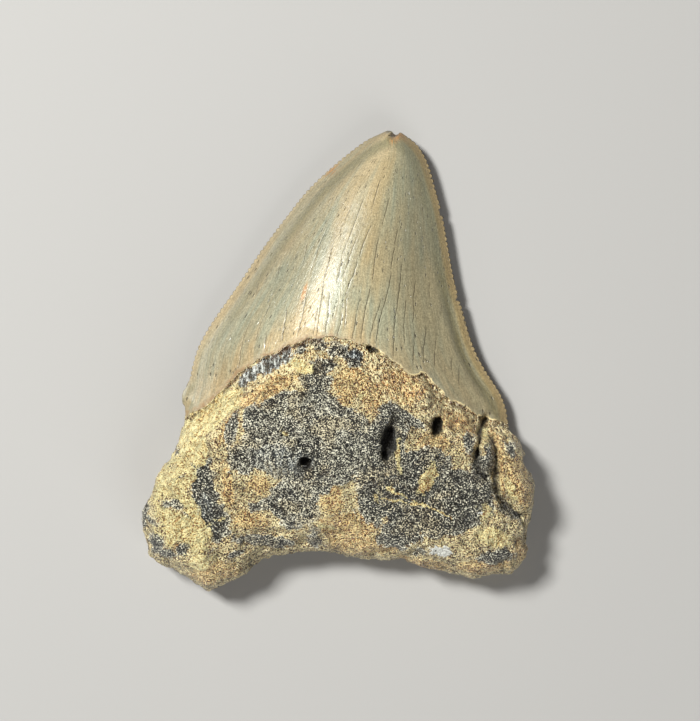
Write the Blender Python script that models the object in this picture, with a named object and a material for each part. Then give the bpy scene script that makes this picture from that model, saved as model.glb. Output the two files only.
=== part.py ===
"""A fossil shark tooth, one grown piece with its crown and its root together.

It lies on its flat outer face with the bulging inner face up and its tip towards +Y.
The upper and the lower surface are heights over one plan view, and they meet at its outline.
Lengths are in millimetres until the mesh is made, in metres, with its origin under the middle.
"""

import math

import bpy
import numpy as np
from mathutils import Vector, geometry, noise

MM = 0.001

# Cutting edges, left from its base to the tip and right from the tip to its base
LEFT_EDGE = (
    (-23.0, -3.0), (-22.6, -1.0), (-21.6, 2.1), (-19.5, 5.8), (-15.6, 11.4), (-11.9, 16.9),
    (-7.7, 22.5), (-4.7, 26.2), (-0.7, 30.0), (4.0, 33.7), (7.1, 35.3),
)
RIGHT_EDGE = (
    (9.8, 35.2), (11.9, 33.6), (13.1, 32.0), (14.0, 30.0), (15.1, 26.2), (16.2, 22.0),
    (17.1, 16.9), (17.9, 12.6), (19.0, 8.4), (20.8, 2.3), (22.7, -1.6), (25.0, -5.2),
    (26.0, -7.7), (26.3, -9.7),
)
# The chipped tip, a notch between two low points
TIP_NOTCH = ((8.0, 35.5), (8.5, 35.4), (8.9, 34.9), (9.3, 35.0))
# The root's outline from under the right edge, round its two lobes, to under the left edge
ROOT_OUTLINE = (
    (26.6, -10.8), (27.5, -12.2), (28.6, -14.5), (28.5, -15.6), (29.4, -17.6), (30.2, -19.4),
    (30.1, -21.4), (29.7, -24.5), (29.1, -26.9), (28.8, -28.3), (29.0, -29.6), (28.0, -31.5),
    (26.7, -32.9), (24.7, -33.1), (22.5, -33.4), (21.7, -33.9), (20.3, -33.8), (18.1, -33.2),
    (16.0, -32.7), (13.6, -32.2), (11.4, -31.6), (9.8, -30.8), (6.1, -31.0), (2.4, -30.7),
    (-0.1, -30.0), (-3.8, -29.7), (-7.5, -30.2), (-11.2, -30.7), (-12.8, -31.6), (-14.0, -32.9),
    (-16.2, -34.2), (-18.6, -35.2), (-20.4, -35.5), (-22.4, -34.2), (-24.3, -33.2), (-26.0, -32.0),
    (-27.7, -31.7), (-29.0, -30.4), (-29.5, -28.2), (-30.0, -25.9), (-30.1, -23.7), (-29.6, -22.0),
    (-28.6, -20.5), (-28.1, -18.4), (-26.8, -16.5), (-25.4, -14.8), (-24.6, -12.6), (-24.0, -10.2),
    (-23.8, -7.8),
)
# A grain of matrix stuck to the edge where it meets the root on the left
EDGE_LUMP = ((-24.3, -6.6), (-24.4, -5.6), (-23.6, -4.3))

# Where the enamel ends, on the inner face and on the outer one
INNER_NECK = (
    (-24.0, -8.8), (-21.9, -8.0), (-19.4, -6.2), (-17.1, -4.1), (-14.8, -1.7), (-11.9, -0.1),
    (-8.4, 1.5), (-5.2, 2.8), (-2.1, 3.2), (1.0, 2.9), (4.4, 2.1), (6.9, 0.8),
    (9.0, -0.9), (10.9, -2.3), (13.2, -2.3), (15.2, -4.3), (18.0, -6.6), (21.6, -8.6), (26.1, -9.9),
)
OUTER_NECK = (
    (-24.5, -9.0), (-19.0, -10.6), (-12.0, -9.8), (-5.0, -7.0), (0.0, -5.8), (5.0, -6.6),
    (12.0, -9.5), (20.0, -11.4), (26.4, -10.6),
)

# Serrations of the cutting edges
SERRATION_PITCH = 0.84
SERRATION_DEPTH = 0.22

# Heights over the surface that the tooth lies on
TIP_Y = 35.5
CUTTING_EDGE_HEIGHT = 2.9
ROOT_RIM_HEIGHT = 5.0
CROWN_RISE_AT_TIP = 1.0
CROWN_RISE_AT_NECK = 9.4
CROWN_LENGTH = 33.0
CROWN_BACK = 2.0
EDGE_SLOPE = 0.35
ROOT_SHOULDER = 6.2
ROOT_BACK = 4.1
BACK_HOLLOW = (0.5, -10.0, 9.0, 8.0, -1.2)
ROOT_INNER_ROUNDING = 6.5
ROOT_OUTER_ROUNDING = 3.2
SHOULDER_SLOPE = 4.6

# Below the cutting edges the crown's arch goes on to these points
LEFT_FOOT = (-26.0, -13.0)
RIGHT_FOOT = (28.8, -13.0)

# Where the outer face comes down to rest: x, y, half widths in x and y, drop
RESTS = (
    (0.0, 9.0, 15.0, 13.0, 1.25),
    (-22.5, -25.0, 6.0, 7.0, 1.5),
    (22.5, -25.0, 6.5, 7.0, 1.5),
)
# Broad swellings of the inner face of the root: x, y, half widths in x and y, height
SWELLINGS = (
    (-1.5, -12.5, 20.0, 11.5, 4.7),
    (-22.0, -26.5, 7.0, 6.5, 1.1),
    (20.5, -27.0, 8.0, 6.0, 1.3),
    (22.6, -15.1, 1.6, 2.8, 0.6),
    (14.0, -29.6, 6.0, 2.4, 0.7),
    (-8.0, -27.0, 6.0, 3.0, -0.6),
    (2.0, -28.0, 7.0, 2.5, -0.5),
)
# A broken flap at the right end of the root, a ridge between two furrows
INNER_FURROW = ((23.0, -8.8), (22.0, -10.0), (21.8, -12.0), (21.2, -14.0), (20.9, -16.5), (22.4, -17.7))
OUTER_FURROW = (
    (23.9, -13.0), (24.5, -13.9), (24.2, -16.7), (23.8, -18.2), (24.0, -20.0), (25.5, -22.1), (27.4, -23.8),
)
FLAP_RIDGE = ((24.5, -12.2), (25.7, -15.6), (27.1, -18.7), (28.0, -20.8))
# Route, half width, depth
FURROWS = (
    (INNER_FURROW, 0.55, 1.2),
    (OUTER_FURROW, 0.6, 1.4),
    (FLAP_RIDGE, 1.4, -0.8),
)
# Nutrient holes and hollows of the inner face: x, y, half widths, turn in degrees, depth
PITS = (
    (7.9, -12.3, 0.8, 2.5, -3.0, 2.2),
    (15.0, -10.5, 0.75, 1.5, -15.0, 2.4),
    (-5.1, -15.7, 0.75, 0.62, 0.0, 2.0),
    (5.3, 1.4, 1.3, 0.5, -28.0, 1.1),
    (-8.4, -11.7, 0.35, 0.55, 0.0, 0.7),
)
PIT_FLOOR = 0.55

# The enamel ends in a small step down to the root
LIP_HEIGHT = 0.45
LIP_STEP = 0.5
LIP_SPREAD = 2.5

# Shallow furrows inside the cutting edges: inset, half width, depth, lowest and highest y
LEFT_FURROW = (2.0, 0.8, 0.3, -4.0, 30.0)
RIGHT_FURROW = (3.2, 1.3, 0.45, -8.0, 5.0)

# Uneven surface of the root: size of the unevenness and how far it reaches
LUMP_SIZE = 5.5
LUMP_REACH = 0.75
KNOB_SIZE = 2.2
KNOB_REACH = 0.4

# Spacing of the points that the surfaces are built on
ROOT_SPACING = 1.1
RING_SPACING = 1.25
RING_INSETS = (0.3, 1.0, 1.95)
GRID_SPACING = 1.36
GRID_INSET = 2.6
OWN_ROOM = 0.55

STONE = (0.36, 0.31, 0.23, 1.0)


def clear_scene():
    for obj in list(bpy.data.objects):
        bpy.data.objects.remove(obj)


def spline(points, steps=24):
    """A smooth line through the points, by Catmull and Rom's rule."""
    p = np.array(points, float)
    p = np.vstack([2 * p[0] - p[1], p, 2 * p[-1] - p[-2]])
    t = np.linspace(0, 1, steps, endpoint=False)[:, None]
    spans = [
        0.5 * (2 * b + (c - a) * t + (2 * a - 5 * b + 4 * c - d) * t**2 + (3 * b - a - 3 * c + d) * t**3)
        for a, b, c, d in zip(p[:-3], p[1:-2], p[2:-1], p[3:])
    ]
    return np.vstack([*spans, p[-2]])


def lengths_along(line):
    return np.concatenate([[0], np.cumsum(np.hypot(*np.diff(line, axis=0).T))])


def spaced(line, count):
    """The line again, with this many even steps."""
    along = lengths_along(line)
    at = np.linspace(0, along[-1], count + 1)
    return np.column_stack([np.interp(at, along, line[:, 0]), np.interp(at, along, line[:, 1])])


def right_hand_side(line):
    """Unit vectors to the right of the way the line goes."""
    way = np.gradient(line, axis=0)
    way /= np.hypot(*way.T)[:, None]
    return np.column_stack([way[:, 1], -way[:, 0]])


def serrated(edge):
    """A cutting edge as a saw, with a point and a notch for each serration."""
    length = lengths_along(edge)[-1]
    teeth = round(length / SERRATION_PITCH)
    line = spaced(edge, 2 * teeth)
    notch = SERRATION_DEPTH * (np.arange(len(line)) % 2 - 0.5)
    return line + right_hand_side(line) * notch[:, None]


def plan_lines():
    """The left edge, the right edge and the root's outline as smooth lines, clockwise."""
    left = spline(LEFT_EDGE)
    right = spline(RIGHT_EDGE)
    root = spline((RIGHT_EDGE[-1], *ROOT_OUTLINE, *EDGE_LUMP, LEFT_EDGE[0]))
    return left, right, root


def distance(points, line):
    """How far each point is from a line of straight pieces."""
    nearest = np.full(len(points), np.inf)
    for a, b in zip(line[:-1], line[1:]):
        way = b - a
        share = np.clip(((points - a) @ way) / max(way @ way, 1e-12), 0, 1)
        gap = points - a - share[:, None] * way
        nearest = np.minimum(nearest, np.hypot(*gap.T))
    return nearest


def inside(points, outline):
    """Which points lie within the closed outline."""
    x, y = points.T
    found = np.zeros(len(points), bool)
    for (x0, y0), (x1, y1) in zip(outline, np.roll(outline, -1, axis=0)):
        if y0 != y1:
            crosses = (y0 > y) != (y1 > y)
            found ^= crosses & (x < (x1 - x0) * (y - y0) / (y1 - y0) + x0)
    return found


def smooth_step(low, high, value):
    t = np.clip((value - low) / (high - low), 0, 1)
    return t * t * (3 - 2 * t)


def rounded(inset, radius):
    """Height of a quarter ellipse over its inset from the rim, from 0 to 1."""
    left = 1 - np.clip(inset / radius, 0, 1)
    return np.sqrt(1 - left**2)


def unevenness(points, size, seed):
    """Smooth noise between about -1 and 1, with lumps of this size."""
    return np.array([noise.noise(Vector((x / size, y / size, seed))) for x, y in points])


def swelling(points, swells):
    x, y = points.T
    return sum(
        height * np.exp(-(((x - x0) / wide) ** 2) - ((y - y0) / tall) ** 2)
        for x0, y0, wide, tall, height in swells
    )


def edge_furrow(points, edge, furrow):
    """Depth of a furrow that runs along a cutting edge."""
    inset, half_width, depth, low, high = furrow
    gap = (distance(points, edge) - inset) / half_width
    y = points[:, 1]
    ends = smooth_step(low, low + 4.0, y) * (1 - smooth_step(high - 4.0, high, y))
    return depth * np.exp(-(gap**2)) * ends


class Form:
    """The tooth's heights over its plan view."""

    def __init__(self):
        self.left, self.right, self.root = plan_lines()
        self.outline = np.vstack([self.left, TIP_NOTCH, self.right, self.root[1:-1]])

    def from_neck(self, points, neck):
        """Distance from the enamel's end, above 0 on the crown."""
        line = spline(neck, 6)
        side = np.where(points[:, 1] > np.interp(points[:, 0], line[:, 0], line[:, 1]), 1, -1)
        return side * distance(points, line)

    def across(self, points):
        """Where a point lies between the cutting edges, 0 at the left one and 1 at the right one."""
        x, y = points.T
        left = np.vstack([LEFT_FOOT, self.left])
        right = np.vstack([RIGHT_FOOT, self.right[::-1]])
        low = np.interp(y, left[:, 1], left[:, 0])
        high = np.interp(y, right[:, 1], right[:, 0])
        return np.clip((x - low) / (high - low), 0, 1)

    def rim_height(self, points):
        on_crown = smooth_step(-7.0, 1.0, self.from_neck(points, INNER_NECK))
        return ROOT_RIM_HEIGHT + (CUTTING_EDGE_HEIGHT - ROOT_RIM_HEIGHT) * on_crown

    def upper(self, points):
        """Height of the inner face."""
        inset = distance(points, self.outline)
        from_neck = self.from_neck(points, INNER_NECK)
        below_tip = TIP_Y - points[:, 1]
        rise = np.clip(below_tip / CROWN_LENGTH, 0, 1) ** 0.75
        rise = CROWN_RISE_AT_TIP + (CROWN_RISE_AT_NECK - CROWN_RISE_AT_TIP) * rise
        arch = np.sin(math.pi * self.across(points)) ** 1.25
        crown = rise * arch * rounded(below_tip + 0.2, 1.4) + EDGE_SLOPE * np.minimum(inset, 1.0)
        root = ROOT_SHOULDER + swelling(points, SWELLINGS)
        root = root * rounded(inset, ROOT_INNER_ROUNDING)
        on_crown = smooth_step(-SHOULDER_SLOPE, 0.0, from_neck)
        height = self.rim_height(points) + root + (crown - root) * on_crown
        lip = smooth_step(-LIP_STEP, 0.0, from_neck) * np.exp(-np.maximum(from_neck, 0) / LIP_SPREAD)
        height += LIP_HEIGHT * lip * smooth_step(0.0, 1.5, inset)
        height -= edge_furrow(points, self.left, LEFT_FURROW)
        height -= edge_furrow(points, self.right, RIGHT_FURROW)
        on_root = (1 - on_crown) * smooth_step(0.0, 2.0, inset)
        height += on_root * LUMP_REACH * unevenness(points, LUMP_SIZE, 3.0)
        height += on_root * KNOB_REACH * unevenness(points, KNOB_SIZE, 7.0)
        for route, half_width, depth in FURROWS:
            gap = distance(points, spline(route, 5))
            height -= depth * np.exp(-((gap / half_width) ** 2))
        for pit in PITS:
            height -= pit[-1] * (1 - smooth_step(PIT_FLOOR, 1.0, self.share_of_pit(points, pit)))
        return height

    def share_of_pit(self, points, pit):
        """Distance from a pit's middle, 1 at its mouth."""
        x0, y0, wide, tall, turn, _ = pit
        angle = math.radians(turn)
        dx, dy = points[:, 0] - x0, points[:, 1] - y0
        along = dx * math.cos(angle) + dy * math.sin(angle)
        up = dy * math.cos(angle) - dx * math.sin(angle)
        return np.hypot(along / wide, up / tall)

    def lower(self, points):
        """Height of the outer face, which is cut off level where the tooth rests."""
        inset = distance(points, self.outline)
        from_neck = self.from_neck(points, OUTER_NECK)
        on_crown = smooth_step(-5.0, 2.0, from_neck)
        belly, *lobes = RESTS
        arch = np.sin(math.pi * self.across(points)) ** 0.9
        crown = (CROWN_BACK + swelling(points, [belly])) * arch
        crown = crown * smooth_step(0.0, 9.0, TIP_Y - points[:, 1])
        root = ROOT_BACK + swelling(points, [*lobes, BACK_HOLLOW])
        root = root * rounded(inset, ROOT_OUTER_ROUNDING)
        drop = root + (crown - root) * on_crown
        on_root = (1 - on_crown) * smooth_step(0.0, 2.0, inset)
        drop += on_root * 0.35 * unevenness(points, LUMP_SIZE, 11.0)
        return np.maximum(self.rim_height(points) - drop, 0)


def root_rim(form):
    return spaced(form.root, round(lengths_along(form.root)[-1] / ROOT_SPACING))


def rim_points(form):
    """The outline as built, with its serrations, clockwise."""
    return np.vstack([serrated(form.left), TIP_NOTCH, serrated(form.right), root_rim(form)[1:-1]])


def ring_points(form, inset):
    """Points this far inside the outline, each behind a point of the rim on the root."""
    lines = [root_rim(form)]
    for edge in (form.left, form.right):
        lines.append(spaced(edge, round(lengths_along(edge)[-1] / RING_SPACING)))
    ring = np.vstack([line + right_hand_side(line) * inset for line in lines])
    kept = inside(ring, form.outline) & (distance(ring, form.outline) > 0.9 * inset)
    return ring[kept]


def grid_points(form):
    """A grid of triangles over the rest of the plan view."""
    low, high = form.outline.min(0), form.outline.max(0)
    rows = np.arange(low[1], high[1], GRID_SPACING * math.sqrt(3) / 2)
    points = np.vstack([
        np.column_stack([xs, np.full(len(xs), y)])
        for n, y in enumerate(rows)
        for xs in [np.arange(low[0] + (n % 2) * GRID_SPACING / 2, high[0], GRID_SPACING)]
    ])
    kept = inside(points, form.outline) & (distance(points, form.outline) > GRID_INSET)
    return points[kept]


def detail_points():
    """Points round each pit and along each furrow, so that they keep their shape."""
    found = []
    for x0, y0, wide, tall, turn, _ in PITS:
        angle = math.radians(turn)
        for share, count in ((0.0, 1), (PIT_FLOOR, 8), (1.05, 14)):
            for n in range(count):
                a = 2 * math.pi * n / count
                dx, dy = share * wide * math.cos(a), share * tall * math.sin(a)
                found.append((
                    x0 + dx * math.cos(angle) - dy * math.sin(angle),
                    y0 + dx * math.sin(angle) + dy * math.cos(angle),
                ))
    for route, half_width, _ in FURROWS:
        line = spline(route, 12)
        line = spaced(line, round(lengths_along(line)[-1]))
        side = right_hand_side(line)
        for share in (-2.0, -1.0, 0.0, 1.0, 2.0):
            found += [tuple(p) for p in line + side * share * half_width]
    neck = spline(INNER_NECK)
    neck = spaced(neck, round(lengths_along(neck)[-1] / RING_SPACING))
    for gap in (0.0, LIP_STEP):
        found += [tuple(p) for p in neck + right_hand_side(neck) * gap]
    return np.array(found)


def apart(points, others, room):
    """The points that keep this much room from all the others."""
    if not len(others):
        return points
    gaps = np.hypot(*(points[:, None, :] - others[None, :, :]).transpose(2, 0, 1))
    return points[gaps.min(axis=1) > room]


def triangles_within(rim, inner):
    """Triangles over the points, and the inner edges that join two points of the rim."""
    points = [Vector(p) for p in np.vstack([rim, inner])]
    faces = geometry.delaunay_2d_cdt(points, [], [list(range(len(rim)))], 1, 1e-6)[2]
    edges = {(min(a, b), max(a, b)) for f in faces for a, b in zip(f, (*f[1:], f[0]))}
    chords = [(a, b) for a, b in edges if b < len(rim) and b - a not in (1, len(rim) - 1)]
    return [tuple(f) for f in faces], sorted(chords)


def plan_mesh(form):
    """The rim, the points within it and the triangles over both.

    Only the rim is shared by the two faces of the tooth, so an edge from rim to rim is split.
    """
    rim = rim_points(form)
    closed_rim = np.vstack([rim, rim[:1]])
    inner = detail_points()
    inner = inner[inside(inner, form.outline) & (distance(inner, form.outline) > 0.5)]
    for inset in RING_INSETS:
        ring = ring_points(form, inset)
        ring = ring[distance(ring, closed_rim) > 0.8 * inset]
        inner = np.vstack([inner, apart(ring, inner, OWN_ROOM * RING_SPACING)])
    inner = np.vstack([inner, apart(grid_points(form), inner, OWN_ROOM * GRID_SPACING)])
    faces, chords = triangles_within(rim, inner)
    while chords:
        inner = np.vstack([inner, [(rim[a] + rim[b]) / 2 for a, b in chords]])
        faces, chords = triangles_within(rim, inner)
    return rim, inner, faces


def counter_clockwise(face, plan):
    a, b, c = (plan[i] for i in face)
    turn = (b[0] - a[0]) * (c[1] - a[1]) - (b[1] - a[1]) * (c[0] - a[0])
    return face if turn > 0 else face[::-1]


def tooth_mesh():
    form = Form()
    rim, inner, faces = plan_mesh(form)
    plan = np.vstack([rim, inner])
    faces = [counter_clockwise(f, plan) for f in faces]
    corners = np.vstack([
        np.column_stack([rim, form.rim_height(rim)]),
        np.column_stack([inner, form.upper(inner)]),
        np.column_stack([inner, form.lower(inner)]),
    ])
    below = [tuple(i if i < len(rim) else i + len(inner) for i in f[::-1]) for f in faces]
    low, high = corners.min(axis=0), corners.max(axis=0)
    corners -= ((low[0] + high[0]) / 2, (low[1] + high[1]) / 2, low[2])
    mesh = bpy.data.meshes.new("tooth")
    mesh.from_pydata((corners * MM).tolist(), [], [*faces, *below])
    mesh.validate()
    mesh.shade_smooth()
    mesh.set_sharp_from_angle(angle=math.radians(50))
    return mesh


def fossil_material():
    material = bpy.data.materials.new("fossil")
    material.use_nodes = True
    shader = material.node_tree.nodes["Principled BSDF"]
    shader.inputs["Base Color"].default_value = STONE
    shader.inputs["Roughness"].default_value = 0.55
    shader.inputs["Metallic"].default_value = 0.0
    material.diffuse_color = STONE
    return material


def main():
    clear_scene()
    mesh = tooth_mesh()
    mesh.materials.append(fossil_material())
    tooth = bpy.data.objects.new("tooth", mesh)
    bpy.context.scene.collection.objects.link(tooth)


main()
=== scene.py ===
"""The finish of a fossil shark tooth: smooth cracked enamel, a grainy stained root, a pale studio.

The tooth's surface is made again at a fine spacing, over the same plan view and the same heights
as the solid that it stands for, with its cracks, grain and worn serrations added.
Lengths are in millimetres until the mesh is made, in metres.
"""

import math

import bpy
import numpy as np
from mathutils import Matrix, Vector, geometry, kdtree, noise

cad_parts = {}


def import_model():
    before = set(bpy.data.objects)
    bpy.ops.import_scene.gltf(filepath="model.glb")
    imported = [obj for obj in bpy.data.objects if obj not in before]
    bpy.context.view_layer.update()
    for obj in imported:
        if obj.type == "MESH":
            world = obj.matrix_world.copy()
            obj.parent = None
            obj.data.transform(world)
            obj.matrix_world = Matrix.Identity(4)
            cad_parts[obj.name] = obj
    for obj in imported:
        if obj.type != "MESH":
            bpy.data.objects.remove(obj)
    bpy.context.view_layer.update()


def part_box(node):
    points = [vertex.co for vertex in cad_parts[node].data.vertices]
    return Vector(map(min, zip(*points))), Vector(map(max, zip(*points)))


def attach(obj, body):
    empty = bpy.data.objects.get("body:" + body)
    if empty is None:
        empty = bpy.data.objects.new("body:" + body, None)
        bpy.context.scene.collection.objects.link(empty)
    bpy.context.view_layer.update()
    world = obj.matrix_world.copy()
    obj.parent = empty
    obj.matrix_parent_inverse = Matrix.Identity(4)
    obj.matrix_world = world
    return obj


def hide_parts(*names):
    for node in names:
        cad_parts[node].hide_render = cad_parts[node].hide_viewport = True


MM = 0.001

# Cutting edges, left from its base to the tip and right from the tip to its base
LEFT_EDGE = (
    (-23.0, -3.0), (-22.6, -1.0), (-21.6, 2.1), (-19.5, 5.8), (-15.6, 11.4), (-11.9, 16.9),
    (-7.7, 22.5), (-4.7, 26.2), (-0.7, 30.0), (4.0, 33.7), (7.1, 35.3),
)
RIGHT_EDGE = (
    (9.8, 35.2), (11.9, 33.6), (13.1, 32.0), (14.0, 30.0), (15.1, 26.2), (16.2, 22.0),
    (17.1, 16.9), (17.9, 12.6), (19.0, 8.4), (20.8, 2.3), (22.7, -1.6), (25.0, -5.2),
    (26.0, -7.7), (26.3, -9.7),
)
# The chipped tip, a notch between two low points
TIP_NOTCH = ((7.6, 35.5), (8.0, 35.5), (8.35, 35.4), (8.6, 35.05), (8.9, 34.85), (9.3, 34.95), (9.5, 35.2))
# The root's outline from under the right edge, round its two lobes, to under the left edge
ROOT_OUTLINE = (
    (26.6, -10.8), (27.5, -12.2), (28.6, -14.5), (28.5, -15.6), (29.4, -17.6), (30.2, -19.4),
    (30.1, -21.4), (29.7, -24.5), (29.1, -26.9), (28.8, -28.3), (29.0, -29.6), (28.0, -31.5),
    (26.7, -32.9), (24.7, -33.1), (22.5, -33.4), (21.7, -33.9), (20.3, -33.8), (18.1, -33.2),
    (16.0, -32.7), (13.6, -32.2), (11.4, -31.6), (9.8, -30.8), (6.1, -31.0), (2.4, -30.7),
    (-0.1, -30.0), (-3.8, -29.7), (-7.5, -30.2), (-11.2, -30.7), (-12.8, -31.6), (-14.0, -32.9),
    (-16.2, -34.2), (-18.6, -35.2), (-20.4, -35.5), (-22.4, -34.2), (-24.3, -33.2), (-26.0, -32.0),
    (-27.7, -31.7), (-29.0, -30.4), (-29.5, -28.2), (-30.0, -25.9), (-30.1, -23.7), (-29.6, -22.0),
    (-28.6, -20.5), (-28.1, -18.4), (-26.8, -16.5), (-25.4, -14.8), (-24.6, -12.6), (-24.0, -10.2),
    (-23.8, -7.8),
)
# A grain of matrix stuck to the edge where it meets the root on the left
EDGE_LUMP = ((-24.3, -6.6), (-24.4, -5.6), (-23.6, -4.3))

# Where the enamel ends, on the inner face and on the outer one
INNER_NECK = (
    (-24.0, -8.8), (-21.9, -8.0), (-19.4, -6.2), (-17.1, -4.1), (-14.8, -1.7), (-11.9, -0.1),
    (-8.4, 1.5), (-5.2, 2.8), (-2.1, 3.2), (1.0, 2.9), (4.4, 2.1), (6.9, 0.8),
    (9.0, -0.9), (10.9, -2.3), (13.2, -2.3), (15.2, -4.3), (18.0, -6.6), (21.6, -8.6), (26.1, -9.9),
)
OUTER_NECK = (
    (-24.5, -9.0), (-19.0, -10.6), (-12.0, -9.8), (-5.0, -7.0), (0.0, -5.8), (5.0, -6.6),
    (12.0, -9.5), (20.0, -11.4), (26.4, -10.6),
)

# Rim: heights over the surface that the tooth lies on, and where they change, from the neck
CUTTING_EDGE_HEIGHT = 2.9
ROOT_RIM_HEIGHT = 5.0
RIM_SLOPE = (-7.0, 1.0)

# Inner face, as rises over the rim: the crown's arch, thinner towards the tip, then the root
TIP_Y = 35.5
CROWN_RISE_AT_TIP = 1.0
CROWN_RISE_AT_NECK = 9.4
CROWN_LENGTH = 33.0
RISE_POWER = 0.75
INNER_ARCH_POWER = 1.25
TIP_BLUNTNESS = 0.2
TIP_ROUNDING = 1.4
EDGE_SLOPE = 0.35
EDGE_SLOPE_WIDTH = 1.0
ROOT_SHOULDER = 6.2
SHOULDER_SLOPE = 4.6
ROOT_INNER_ROUNDING = 6.5

# Outer face, as drops under the rim
CROWN_BACK = 2.0
OUTER_ARCH_POWER = 0.9
OUTER_TIP_TAPER = 9.0
ROOT_BACK = 4.1
BACK_HOLLOW = (0.5, -10.0, 9.0, 8.0, -1.2)
ROOT_OUTER_ROUNDING = 3.2
OUTER_SHOULDER = (-5.0, 2.0)
OUTER_LUMP_REACH = 0.35

# Below the cutting edges the crown's arch goes on to these points
LEFT_FOOT = (-26.0, -13.0)
RIGHT_FOOT = (28.8, -13.0)

# Where the outer face comes down to rest: x, y, half widths in x and y, drop
RESTS = (
    (0.0, 9.0, 15.0, 13.0, 1.25),
    (-22.5, -25.0, 6.0, 7.0, 1.5),
    (22.5, -25.0, 6.5, 7.0, 1.5),
)
# Broad swellings of the inner face of the root: x, y, half widths in x and y, height
SWELLINGS = (
    (-1.5, -12.5, 20.0, 11.5, 4.7),
    (-22.0, -26.5, 7.0, 6.5, 1.1),
    (20.5, -27.0, 8.0, 6.0, 1.3),
    (22.6, -15.1, 1.6, 2.8, 0.6),
    (14.0, -29.6, 6.0, 2.4, 0.7),
    (-8.0, -27.0, 6.0, 3.0, -0.6),
    (2.0, -28.0, 7.0, 2.5, -0.5),
)
# A broken flap at the right end of the root, a ridge between two furrows
INNER_FURROW = ((22.9, -9.2), (21.9, -11.0), (21.5, -12.8), (21.0, -14.4), (21.1, -16.4), (22.2, -17.8))
OUTER_FURROW = (
    (23.6, -12.4), (23.9, -14.4), (23.8, -16.7), (23.9, -19.4), (24.6, -21.2), (26.1, -22.7), (27.7, -24.0),
)
FLAP_RIDGE = ((24.5, -12.2), (25.7, -15.6), (27.1, -18.7), (28.0, -20.8))
FLAP_RIM = ((26.6, -12.6), (27.9, -15.4), (28.9, -18.4), (29.0, -21.4))
FLAP_FOLD = ((25.6, -17.0), (25.3, -18.4), (25.5, -19.8), (26.0, -21.4))
RIM_CRACK = ((28.3, -24.8), (28.5, -26.6), (28.5, -28.4))
LOWER_LEDGE = ((10.0, -30.0), (11.8, -29.3), (13.9, -28.2), (17.4, -27.9))
TIP_CREASE = ((8.9, 34.9), (8.5, 34.6), (7.8, 34.0))
# Route, half width, depth
FURROWS = (
    (INNER_FURROW, 0.65, 1.5),
    (OUTER_FURROW, 0.8, 1.9),
    (FLAP_RIDGE, 1.4, -0.6),
    (FLAP_RIM, 1.5, -1.1),
    (FLAP_FOLD, 0.26, 0.6),
    (RIM_CRACK, 0.2, 0.7),
    (LOWER_LEDGE, 0.3, 0.35),
    (TIP_CREASE, 0.18, 0.35),
)
# Nutrient holes and hollows of the inner face: x, y, half widths, turn in degrees, depth
PITS = (
    (7.6, -12.7, 1.3, 3.4, -7.0, 2.5),
    (8.3, -8.8, 0.8, 1.5, 0.0, 0.6),
    (15.0, -10.2, 1.0, 1.8, -15.0, 2.4),
    (14.2, -9.8, 0.7, 1.0, 0.0, 0.7),
    (-4.9, -15.5, 1.0, 0.95, -20.0, 2.0),
    (-5.9, -16.5, 0.8, 1.0, 25.0, 0.7),
    (5.2, 1.4, 1.25, 0.5, -25.0, 1.0),
    (-8.4, -11.7, 0.35, 0.55, 0.0, 0.7),
    (25.8, -12.3, 0.35, 0.9, 0.0, 1.0),
    (21.2, -14.0, 0.5, 1.6, -12.0, 0.8),
    (-13.4, -31.6, 0.4, 0.55, 20.0, 0.8),
)
# Raggedness of pits and furrows as size and reach, and the share of a pit that is its floor
PIT_SWAY = ((1.0, 0.3), (0.4, 0.12))
PIT_SEEDS = (31.0, 35.0)
PIT_FLOOR = 0.55

# The enamel ends in a small ragged step down to the root
LIP_HEIGHT = 0.45
LIP_STEP = 0.3
LIP_SPREAD = 2.5
LIP_RIM_FADE = 1.5
NECK_RAGGED = ((1.3, 0.45), (0.45, 0.16))

# Shallow furrows inside the cutting edges: inset, half width, depth, lowest and highest y
LEFT_FURROW = (2.0, 0.8, 0.08, -4.0, 30.0)
RIGHT_FURROW = (1.9, 0.75, 0.4, -8.0, 11.0)
EDGE_FURROW_TAPER = 4.0

# Points of a smooth line for each point given, in necks and in furrows or veins
NECK_STEPS = 6
ROUTE_STEPS = 5

# Uneven surface of the root: size of the unevenness, how far it reaches, and where the rim ends it
LUMP_SIZE = 5.5
LUMP_REACH = 0.75
KNOB_SIZE = 2.2
KNOB_REACH = 0.4
RIM_FADE = 2.0

# Serrations, as rounded beads with a sharp notch between them, more or less worn along the edge
SERRATION_PITCH = 0.84
SERRATION_DEPTH = 0.3
SERRATION_POINTS = 6
SERRATION_REACH = 0.75
BEAD_LIFT = 0.03
BEAD_POWER = 0.7
BEAD_SIZE_LEFT = 0.75
BEAD_SIZE_VARIES = 0.6
WEAR_SIZE = 2.6
WORN_TIP = (33.5, 35.0)
# Nicks of the right edge: y, half width, depth
NICKS = ((22.8, 0.5, 0.35), (9.4, 0.45, 0.4))

# Rows of points behind the rim: insets on the crown and on the root
EDGE_INSETS = (0.12, 0.27, 0.45, 0.7, 1.0)
ROOT_INSETS = (0.02, 0.07, 0.16, 0.28, 0.43, 0.62, 0.86, 1.15, 1.5)
ROOT_SPACING = 0.32
# Dents of the root's rim as size and reach, and how far they go inwards
RIM_DENTS = ((1.6, 0.22), (0.6, 0.14))
DENT_INSET = 0.8
# Grid of points over the rest, a little out of order
GRID_INSET = 1.2
INNER_SPACING = 0.275
OUTER_SPACING = 0.37
GRID_JITTER = 0.18
# Room that points keep from the rim, cracks from the rows, and the grid from all, by its spacing
RIM_CLEARANCE = 0.014
CRACK_CLEARANCE = 0.06
GRID_CLEARANCE = 0.6
# For the triangulation: keep what lies within the rim, and join points closer than this
WITHIN_RIM = 1
JOIN_GAP = 1e-7

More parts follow.
